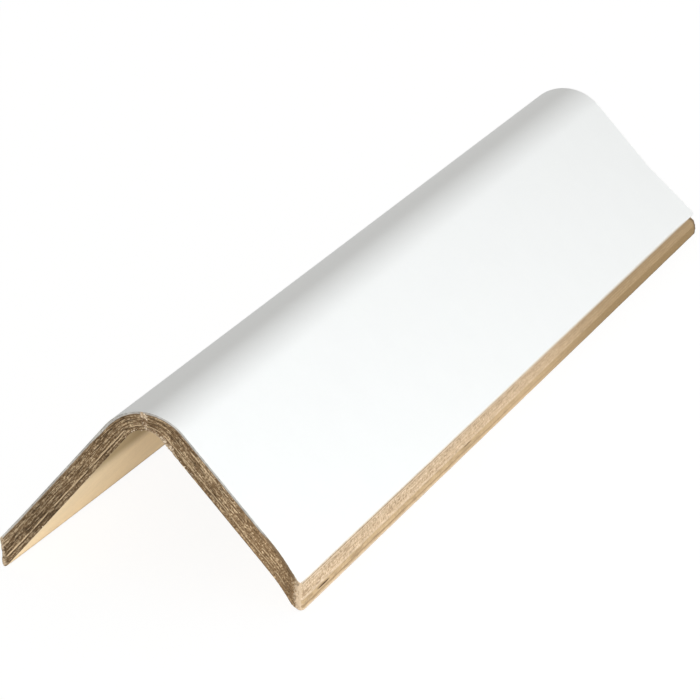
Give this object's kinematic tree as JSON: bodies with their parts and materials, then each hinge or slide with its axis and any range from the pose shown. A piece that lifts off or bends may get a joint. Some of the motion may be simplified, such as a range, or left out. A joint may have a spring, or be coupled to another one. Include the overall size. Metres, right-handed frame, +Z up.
{
  "type": "pallet edge protector",
  "caption": "Straight angle of laminated paperboard with a rounded fold, white outside and kraft inside, that guards the edge of a palletised load from straps and knocks.",
  "frame": {"origin": "on the floor, under the middle of the ridge, with the angle standing on its two long edges", "axes": "+Z up through the ridge, Y along the length, X across the two legs"},
  "size_m": [0.0672, 0.25, 0.0378],
  "materials": {
    "kraft_board": "matt brown kraft plies, bare and fibrous on every cut edge",
    "white_liner": "smooth white paper with a faint sheen, glued over the outer face"
  },
  "bodies": {
    "root": {"edge_protector": "kraft_board"}
  },
  "joints": []
}
